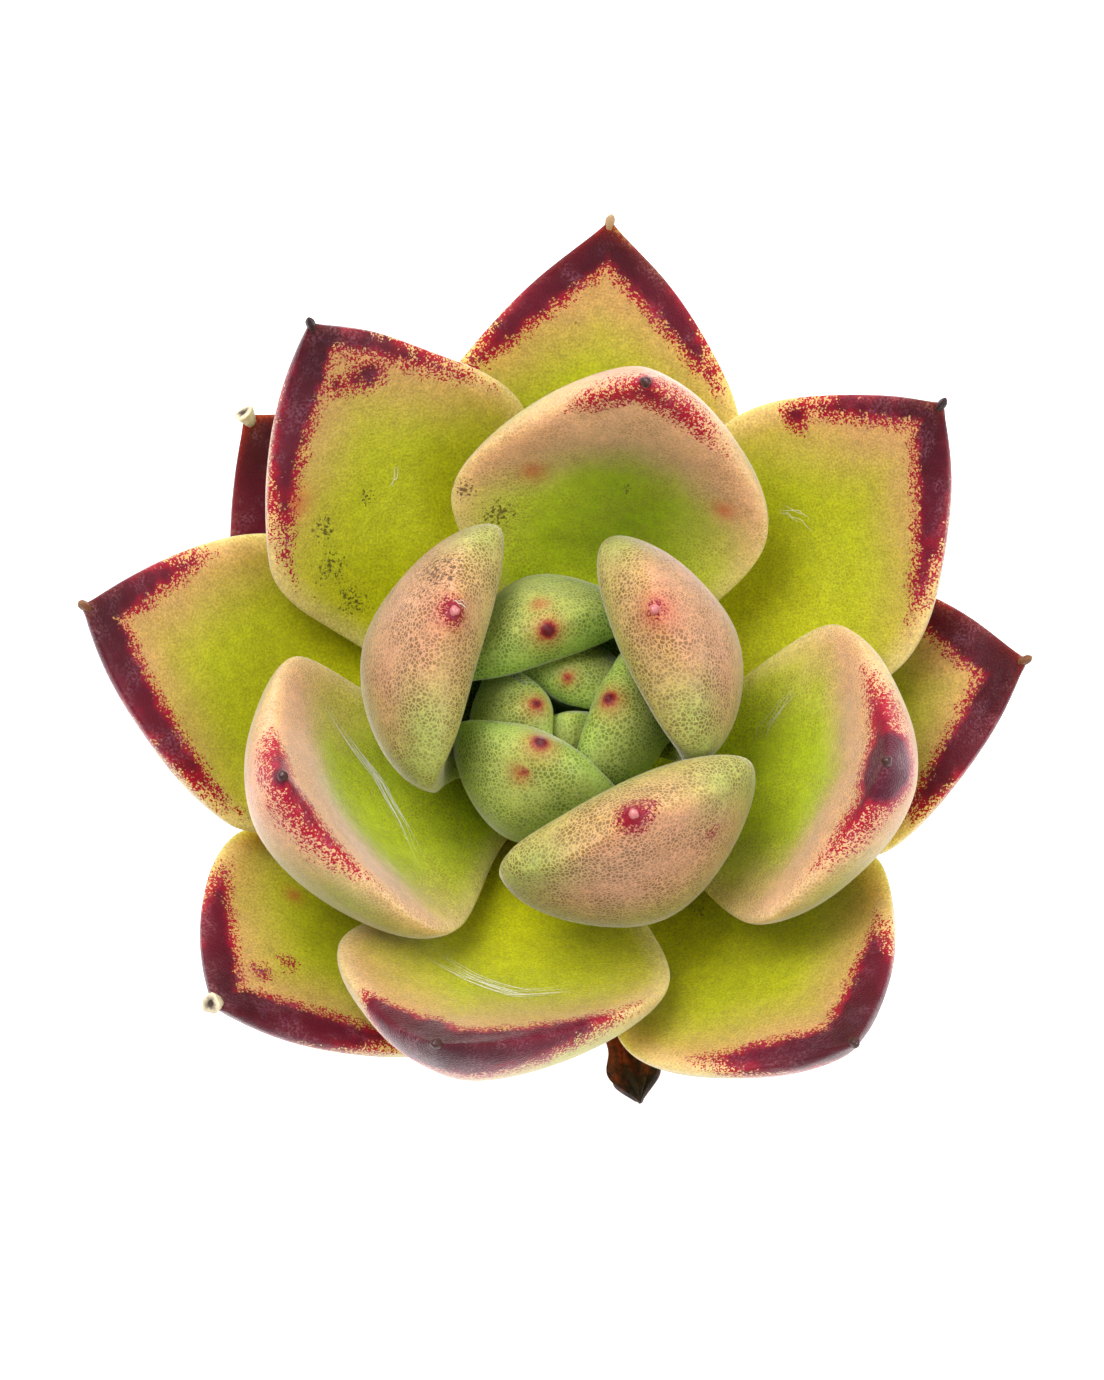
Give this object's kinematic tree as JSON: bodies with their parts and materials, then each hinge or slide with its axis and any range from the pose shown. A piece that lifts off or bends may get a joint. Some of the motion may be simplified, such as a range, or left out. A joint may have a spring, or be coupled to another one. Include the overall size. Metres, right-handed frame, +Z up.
{
  "type": "potted succulent",
  "caption": "Rosette of thick pointed succulent leaves on a short stem, rooted in soil in a small round tapered pot.",
  "frame": {"origin": "centre of the pot's flat underside, on the surface it stands on", "axes": "+Z up along the pot's axis; the rosette's middle is 4 mm from that axis towards -Y, the side the picture looks from"},
  "size_m": [0.0915, 0.0867, 0.0861],
  "materials": {
    "heart_leaf": "satin",
    "middle_leaf": "satin",
    "outer_leaf": "satin",
    "withered_leaf": "matte",
    "stem_bark": "matte",
    "soil": "matte",
    "clay": "matte"
  },
  "bodies": {
    "root": {"leaf_01": "heart_leaf", "leaf_02": "heart_leaf", "leaf_03": "heart_leaf", "leaf_04": "heart_leaf", "leaf_05": "heart_leaf", "leaf_06": "heart_leaf", "leaf_07": "middle_leaf", "leaf_08": "middle_leaf", "leaf_09": "middle_leaf", "leaf_10": "middle_leaf", "leaf_11": "middle_leaf", "leaf_12": "middle_leaf", "leaf_13": "outer_leaf", "leaf_14": "outer_leaf", "leaf_15": "outer_leaf", "leaf_16": "outer_leaf", "leaf_17": "outer_leaf", "leaf_18": "outer_leaf", "leaf_19": "outer_leaf", "leaf_20": "outer_leaf", "leaf_21": "outer_leaf", "leaf_22": "withered_leaf", "stem": "stem_bark", "soil": "soil", "pot": "clay"}
  },
  "joints": []
}
